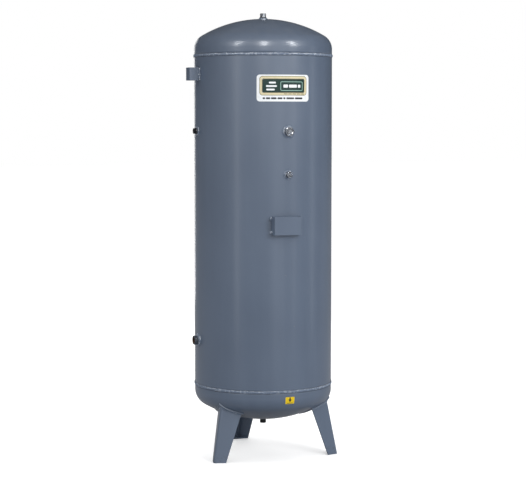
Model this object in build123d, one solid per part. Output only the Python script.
from build123d import *
import os
from collections import namedtuple
from math import asin, cos, degrees, pi, sin, sqrt

# Upright air receiver on three legs. Millimetres, +Z up. The vessel's axis is the Z axis, the floor
# is z = 0, the front is -Y and the left side is -X. Angles run from the front towards +X.

# Vessel
shell_diameter = 600.0
shell_wall = 5.0
shell_length = 1421.0
bottom_seam_height = 316.0

# Dished heads, each pushed a little way into the shell on a joggled skirt
crown_radius = 525.0
knuckle_radius = 68.0
straight_flange = 33.0
head_wall = 5.0
joggle_length = 8.0
skirt_length = 25.0
skirt_clearance = 0.3
root_gap = 0.5

# Seam welds
girth_bead_toe = 2.5
girth_bead_height = 2.4
seam_bead_width = 11.0
seam_bead_height = 2.0
seam_gap = 2.0
seam_angle = 148.0

# Threaded half couplings, set on the vessel's outside. The hole under each clears its thread.
Coupling = namedtuple("Coupling", "bore_radius outer_radius projection weld_leg")
large_coupling = Coupling(15.15, 20.0, 22.0, 8.0)
low_coupling = Coupling(15.15, 20.0, 10.0, 6.5)
small_coupling = Coupling(9.3, 14.0, 9.0, 5.5)
head_coupling = Coupling(9.3, 15.0, 8.0, 4.0)
coupling_chamfer = 1.2
hole_clearance = 0.8
saddle_depth = 3.0

# Hexagon head plugs with sealing washers
Plug = namedtuple("Plug", "hex_width head_height")
large_plug = Plug(36.0, 8.0)
small_plug = Plug(24.0, 9.0)
vent_plug = Plug(24.0, 14.0)
drain_plug = Plug(25.0, 14.0)
washer_thickness = 1.5
washer_margin = 3.0
washer_clearance = 0.4
thread_clearance = 0.05
shank_end_clearance = 1.5
shank_chamfer = 1.0

# Places of the ports and fittings, as drops below the top seam or rises above the bottom seam
front_angle = 0.0
left_angle = -90.0
gauge_port_drop = 321.5
switch_port_drop = 501.5
outlet_port_drop = 320.0
inlet_port_rise = 195.0

# Folded sheet brackets
Bracket = namedtuple("Bracket", "width height standoff")
nameplate_bracket = Bracket(124.0, 77.0, 32.0)
side_bracket = Bracket(50.0, 55.0, 45.0)
bracket_sheet = 3.0
bracket_bend = 1.5
nameplate_bracket_drop = 716.0
nameplate_bracket_shift = -11.3
side_bracket_drop = 76.5
tack_radius = 5.0
bracket_bead_radius = 4.5

# Labels
brand_plate_arc = 234.0
brand_plate_height = 112.0
brand_plate_corner = 13.0
brand_plate_thickness = 0.8
brand_plate_drop = 139.3
brand_plate_angle = -3.6
caution_label_width = 41.0
caution_label_height = 30.0
caution_label_corner = 2.0
caution_label_thickness = 0.4
caution_label_drop = 41.0
caution_label_angle = 1.8
label_glue = 0.1

# Legs: tapered sheets folded to a right angle, the fold outwards, each on a doubling pad
leg_angles = {"left": -60.0, "right": 60.0, "rear": 180.0}
leg_sheet = 5.0
leg_bend = 6.0
leg_splay = 35.0
leg_inset = 13.0
leg_joint_height = 243.0
leg_foot_width = 55.0
leg_top_width = 100.0
pad_side = 114.0
pad_thickness = 5.0
pad_inset = 69.0
pad_corner = 6.0
leg_weld_leg = 5.0

# Three-cornered foot plates inside the legs, drilled for floor anchors
foot_plate_side = 48.0
foot_plate_thickness = 8.0
foot_plate_corner = 9.0
anchor_hole_diameter = 14.0
anchor_hole_inset = 14.0

shell_radius = shell_diameter / 2
top_seam_height = bottom_seam_height + shell_length
dome_angle = asin((shell_radius - knuckle_radius) / (crown_radius - knuckle_radius))
crown_centre = straight_flange - (crown_radius - knuckle_radius) * cos(dome_angle)
dome_height = crown_centre + crown_radius
vessel_top = top_seam_height + dome_height
vessel_bottom = bottom_seam_height - dome_height
leg_blank_height = bottom_seam_height - straight_flange / 2
anchor_circle_radius = shell_radius + leg_splay - (leg_sheet + anchor_hole_inset) * sqrt(2)
upright = (Align.CENTER, Align.CENTER, Align.MIN)


def polyline_edges(points):
    return Polyline(*[(x, 0, z) for x, z in points]).edges()


def turned(edges):
    """Turn a closed half section in the XZ plane about the vessel's axis."""
    return revolve(Face(Wire(edges)), Axis.Z)


def dome_arcs(grow):
    """Knuckle and crown arcs, from the straight flange up to the axis, grown by an offset."""
    knuckle = knuckle_radius + grow
    crown = crown_radius + grow
    knuckle_x = shell_radius - knuckle_radius

    def on_knuckle(angle):
        return (knuckle_x + knuckle * sin(angle), 0, straight_flange + knuckle * cos(angle))

    def on_crown(angle):
        return (crown * sin(angle), 0, crown_centre + crown * cos(angle))

    knuckle_middle = on_knuckle((dome_angle + pi / 2) / 2)
    knuckle_arc = ThreePointArc(on_knuckle(pi / 2), knuckle_middle, on_knuckle(dome_angle))
    crown_arc = ThreePointArc(on_crown(dome_angle), on_crown(dome_angle / 2), on_crown(0))
    return [knuckle_arc.edge(), crown_arc.edge()]


def dome_envelope(grow=0.0):
    """Solid dome that fills a head, its seam at z = 0."""
    radius = shell_radius + grow
    walls = polyline_edges([(0, dome_height + grow), (0, 0), (radius, 0), (radius, straight_flange)])
    return turned(walls + dome_arcs(grow))


def head():
    """Torispherical head, seam at z = 0, with a skirt that slips inside the shell."""
    skirt_radius = shell_radius - shell_wall - skirt_clearance
    inner_radius = shell_radius - head_wall
    outside = [
        (skirt_radius - head_wall, -skirt_length),
        (skirt_radius, -skirt_length),
        (skirt_radius, 0),
        (shell_radius, joggle_length),
        (shell_radius, straight_flange),
    ]
    inside = [
        (inner_radius, straight_flange),
        (inner_radius, joggle_length + head_wall / 2),
        (skirt_radius - head_wall, head_wall / 2),
        (skirt_radius - head_wall, -skirt_length),
    ]
    at_axis = [(0, dome_height), (0, dome_height - head_wall)]
    edges = polyline_edges(outside) + polyline_edges(inside) + polyline_edges(at_axis)
    return turned(edges + dome_arcs(0) + dome_arcs(-head_wall))


def girth_weld():
    """Bead that fills the joggle's groove and stands a little proud of the shell."""
    top = joggle_length + girth_bead_toe
    toe = -root_gap - girth_bead_toe
    groove = [
        (shell_radius, toe),
        (shell_radius, -root_gap),
        (shell_radius - shell_wall, -root_gap),
        (shell_radius - shell_wall - skirt_clearance, 0),
        (shell_radius, joggle_length),
        (shell_radius, top),
    ]
    crest = (shell_radius + girth_bead_height, 0, (top + toe) / 2)
    crown = ThreePointArc((shell_radius, 0, top), crest, (shell_radius, 0, toe))
    return turned(polyline_edges(groove) + [crown.edge()])


def shell_cylinder(radius=shell_radius):
    return Pos(0, 0, bottom_seam_height) * Cylinder(radius, shell_length, align=upright)


def seam_weld():
    """Bead along the rolled shell's closing seam, clear of both girth welds."""
    half_width = seam_bead_width / 2
    half_gap = seam_gap / 2
    inner_radius = shell_radius - shell_wall

    def on_circle(x, radius=shell_radius):
        return (x, -sqrt(radius**2 - x**2))

    groove = [
        on_circle(half_gap),
        on_circle(half_gap, inner_radius),
        on_circle(-half_gap, inner_radius),
        on_circle(-half_gap),
    ]
    half_way = (half_gap + half_width) / 2
    left_toe = ThreePointArc(on_circle(-half_gap), on_circle(-half_way), on_circle(-half_width))
    right_toe = ThreePointArc(on_circle(half_width), on_circle(half_way), on_circle(half_gap))
    crest = (0, -shell_radius - seam_bead_height)
    crown = ThreePointArc(on_circle(-half_width), crest, on_circle(half_width))
    edges = Polyline(*groove).edges() + [left_toe.edge(), crown.edge(), right_toe.edge()]
    clear_end = joggle_length + girth_bead_toe
    bead = extrude(Face(Wire(edges)), shell_length - 2 * clear_end)
    return Rot(0, 0, seam_angle) * Pos(0, 0, bottom_seam_height + clear_end) * bead


def on_shell(angle, height):
    """Frame on the shell's outside, its Z axis pointing straight out."""
    return Rot(0, 0, angle) * Pos(0, -shell_radius, height) * Rot(90, 0, 0)


def coupling_solid(size):
    body = Cylinder(size.outer_radius, size.projection + saddle_depth, align=upright)
    body = chamfer(body.edges().filter_by(GeomType.CIRCLE).sort_by(Axis.Z)[-1], coupling_chamfer)
    bore = Cylinder(size.bore_radius, size.projection + saddle_depth, align=upright)
    return Pos(0, 0, -saddle_depth) * (body - bore)


def coupling_weld_solid(size):
    section = [
        (size.outer_radius, -saddle_depth),
        (size.outer_radius + size.weld_leg + saddle_depth, -saddle_depth),
        (size.outer_radius, size.weld_leg),
        (size.outer_radius, -saddle_depth),
    ]
    return Rot(0, 0, 45) * turned(polyline_edges(section))


def plug_solid(coupling, plug):
    """Hexagon head plug, its washer's seat at the coupling's mouth."""
    shank_radius = coupling.bore_radius - thread_clearance
    shank_length = coupling.projection + washer_thickness - shank_end_clearance
    shank = Cylinder(shank_radius, shank_length, align=upright)
    shank = chamfer(shank.edges().filter_by(GeomType.CIRCLE).sort_by(Axis.Z)[0], shank_chamfer)
    hexagon = extrude(RegularPolygon(plug.hex_width / 2, 6, major_radius=False), plug.head_height)
    face_radius = plug.hex_width * 0.48
    cone_rise = plug.head_height * sqrt(3)
    rounding = Cone(face_radius + cone_rise, face_radius, plug.head_height, align=upright)
    head_base = Pos(0, 0, coupling.projection + washer_thickness)
    return Pos(0, 0, shank_end_clearance) * shank + head_base * (hexagon & rounding)


def washer_solid(coupling, plug):
    inner_radius = coupling.bore_radius + washer_clearance
    outer_radius = min(coupling.outer_radius - coupling_chamfer, coupling.bore_radius + washer_margin)
    washer = Cylinder(outer_radius, washer_thickness, align=upright)
    washer -= Cylinder(inner_radius, washer_thickness, align=upright)
    return Pos(0, 0, coupling.projection) * washer


def folded_bracket(bracket):
    """Sheet folded to a U, its two edges shaped to the shell, at the front and centred on z = 0."""
    depth = bracket.standoff + bracket.width / 2
    from_face = (Align.CENTER, Align.MIN, Align.CENTER)
    outside = Pos(0, -shell_radius - bracket.standoff, 0) * Box(
        bracket.width, depth, bracket.height, align=from_face
    )
    outside = fillet(outside.edges().filter_by(Axis.Z).sort_by(Axis.Y)[:2], bracket_bend + bracket_sheet)
    inside = Pos(0, -shell_radius - bracket.standoff + bracket_sheet, 0) * Box(
        bracket.width - 2 * bracket_sheet, depth, bracket.height, align=from_face
    )
    inside = fillet(inside.edges().filter_by(Axis.Z).sort_by(Axis.Y)[:2], bracket_bend)
    return outside, outside - inside


def bracket_foot(bracket, side, shift):
    """Where a bracket's web meets the shell, before the bracket is placed."""
    x = side * bracket.width / 2
    return (x, -sqrt(shell_radius**2 - (x + shift) ** 2))


def v_section(height, outer, inner):
    """Leg's V section at a height, its fold at the front, between two offsets from the outer face."""
    apex = shell_radius + leg_splay - (leg_splay + leg_inset) * height / leg_joint_height
    width = leg_foot_width + (leg_top_width - leg_foot_width) * height / leg_joint_height
    slant = sqrt(0.5)

    def corner(offset):
        return (0, -apex - offset / slant)

    def end(offset, side):
        return (side * slant * (width + offset), -apex + slant * (width - offset))

    points = [corner(outer), end(outer, 1), end(inner, 1), corner(inner), end(inner, -1), end(outer, -1)]
    section = make_face(Polyline(*points, close=True))
    section = fillet(section.vertices().sort_by(Axis.Y)[0], leg_bend + leg_sheet + outer)
    inner_corner = section.vertices().sort_by_distance((*corner(inner), 0))[0]
    section = fillet(inner_corner, leg_bend + leg_sheet + inner)
    return Pos(0, 0, height) * section


def leg_blank(outer, inner):
    return loft([v_section(0, outer, inner), v_section(leg_blank_height, outer, inner)])


def foot_plate():
    """Plate that fills the leg's inner corner, its edges lying against the leaning wings."""

    def outline(height):
        apex = shell_radius + leg_splay - (leg_splay + leg_inset) * height / leg_joint_height
        inner_apex = apex - leg_sheet * sqrt(2)
        reach = foot_plate_side / sqrt(2)
        corners = [(0, -inner_apex), (reach, reach - inner_apex), (-reach, reach - inner_apex)]
        plate = make_face(Polyline(*corners, close=True))
        return Pos(0, 0, height) * fillet(plate.vertices().sort_by(Axis.Y)[0], foot_plate_corner)

    plate = loft([outline(0), outline(foot_plate_thickness)])
    return plate - Pos(0, -anchor_circle_radius, 0) * Cylinder(
        anchor_hole_diameter / 2, foot_plate_thickness, align=upright
    )


parts = {}
skin = shell_cylinder()
to_top = Pos(0, 0, top_seam_height)
to_bottom = Pos(0, 0, bottom_seam_height) * Rot(180, 0, 0)
bottom_skin = to_bottom * dome_envelope()
surfaces = {"shell": skin, "top_head": to_top * dome_envelope(), "bottom_head": bottom_skin}

# Ports: name, the wall that the coupling stands on, place, coupling and plug
Port = namedtuple("Port", "name wall place coupling plug")
gauge_place = on_shell(front_angle, top_seam_height - gauge_port_drop)
switch_place = on_shell(front_angle, top_seam_height - switch_port_drop)
outlet_place = on_shell(left_angle, top_seam_height - outlet_port_drop)
inlet_place = on_shell(left_angle, bottom_seam_height + inlet_port_rise)
drain_place = Pos(0, 0, vessel_bottom) * Rot(180, 0, 0)
ports = [
    Port("vent", "top_head", Pos(0, 0, vessel_top), head_coupling, vent_plug),
    Port("gauge", "shell", gauge_place, low_coupling, large_plug),
    Port("switch", "shell", switch_place, small_coupling, small_plug),
    Port("outlet", "shell", outlet_place, small_coupling, small_plug),
    Port("inlet", "shell", inlet_place, large_coupling, None),
    Port("drain", "bottom_head", drain_place, head_coupling, drain_plug),
]

# Rolled shell with its seam gap, and the two heads
tube_length = shell_length - 2 * root_gap
tube = Cylinder(shell_radius, tube_length, align=upright)
tube -= Cylinder(shell_radius - shell_wall, tube_length, align=upright)
gap = Pos(0, -shell_radius, 0) * Box(seam_gap, 4 * shell_wall, tube_length, align=upright)
parts["shell"] = Pos(0, 0, bottom_seam_height + root_gap) * (tube - Rot(0, 0, seam_angle) * gap)
parts["top_head"] = to_top * head()
parts["bottom_head"] = to_bottom * head()
parts["top_girth_weld"] = to_top * girth_weld()
parts["bottom_girth_weld"] = to_bottom * girth_weld()
parts["shell_seam_weld"] = seam_weld()

# Couplings, their fillet welds, plugs and washers, and the holes under them
hole_depth = 4 * shell_wall
for port in ports:
    size = port.coupling
    surface = surfaces[port.wall]
    parts[f"{port.name}_coupling"] = port.place * coupling_solid(size) - surface
    parts[f"{port.name}_coupling_weld"] = port.place * coupling_weld_solid(size) - surface
    if port.plug:
        parts[f"{port.name}_plug"] = port.place * plug_solid(size, port.plug)
        parts[f"{port.name}_washer"] = port.place * washer_solid(size, port.plug)
    parts[port.wall] -= port.place * Cylinder(size.bore_radius + hole_clearance, 2 * hole_depth)

# Nameplate bracket on the front, held by four tack welds
shift = nameplate_bracket_shift
place = Pos(shift, 0, top_seam_height - nameplate_bracket_drop)
outside, bracket = folded_bracket(nameplate_bracket)
parts["nameplate_bracket"] = place * bracket - skin
tack_rise = nameplate_bracket.height / 2 - tack_radius
tacks = [
    place * Pos(*bracket_foot(nameplate_bracket, side, shift), level * tack_rise) * Sphere(tack_radius)
    for side in (-1, 1)
    for level in (-1, 1)
]
parts["nameplate_bracket_welds"] = Part() + [tack - place * outside - skin for tack in tacks]

# Side bracket on the left, held by a bead along each web
place = Rot(0, 0, left_angle) * Pos(0, 0, top_seam_height - side_bracket_drop)
outside, bracket = folded_bracket(side_bracket)
parts["side_bracket"] = place * bracket - skin
beads = [
    place * Pos(*bracket_foot(side_bracket, side, 0)) * Cylinder(bracket_bead_radius, side_bracket.height)
    for side in (-1, 1)
]
parts["side_bracket_welds"] = Part() + [bead - place * outside - skin for bead in beads]

# Brand plate wrapped on the shell, and a caution label on the bottom head's flange
chord = 2 * shell_radius * sin(brand_plate_arc / shell_diameter)
outline = Rot(90, 0, 0) * RectangleRounded(chord, brand_plate_height, brand_plate_corner)
blank = extrude(outline, 2 * shell_radius, dir=(0, -1, 0))
wrap = Cylinder(shell_radius + label_glue + brand_plate_thickness, shell_length)
wrap -= Cylinder(shell_radius + label_glue, shell_length)
plate_height = top_seam_height - brand_plate_drop
parts["brand_plate"] = Rot(0, 0, brand_plate_angle) * Pos(0, 0, plate_height) * (wrap & blank)

label_height = bottom_seam_height - caution_label_drop
outline = RectangleRounded(caution_label_width, caution_label_height, caution_label_corner)
blank = Pos(0, 0, label_height) * extrude(Rot(90, 0, 0) * outline, 2 * shell_radius, dir=(0, -1, 0))
wrap = to_bottom * (dome_envelope(label_glue + caution_label_thickness) - dome_envelope(label_glue))
parts["caution_label"] = Rot(0, 0, caution_label_angle) * (wrap & blank)

# Legs with their pads, welds and foot plates
pad_surface = to_bottom * dome_envelope(pad_thickness)
weld_surface = to_bottom * dome_envelope(pad_thickness + leg_weld_leg)
leg = leg_blank(0, -leg_sheet) - pad_surface
leg_weld = (leg_blank(leg_weld_leg, 0) & weld_surface) - pad_surface
pad_tilt = asin((shell_radius - pad_inset) / crown_radius)
pad_outline = Rot(0, 0, 45) * RectangleRounded(pad_side, pad_side, pad_corner)
pad_blank = extrude(pad_outline, 2 * crown_radius)
pad_aim = Pos(0, 0, bottom_seam_height - crown_centre) * Rot(180 - degrees(pad_tilt), 0, 0)
pad = (pad_surface - bottom_skin) & (pad_aim * pad_blank)
foot = foot_plate()
for name, angle in leg_angles.items():
    turn = Rot(0, 0, angle)
    parts[f"{name}_leg"] = turn * leg
    parts[f"{name}_leg_pad"] = turn * pad
    parts[f"{name}_leg_weld"] = turn * leg_weld
    parts[f"{name}_foot_plate"] = turn * foot

os.makedirs("parts", exist_ok=True)
for name, part in parts.items():
    export_step(part, f"parts/{name}.step")
anchor_circle_diameter = round(2 * anchor_circle_radius, 3)
print(len(parts), "nodes, height", round(vessel_top, 2), "anchor circle", anchor_circle_diameter)
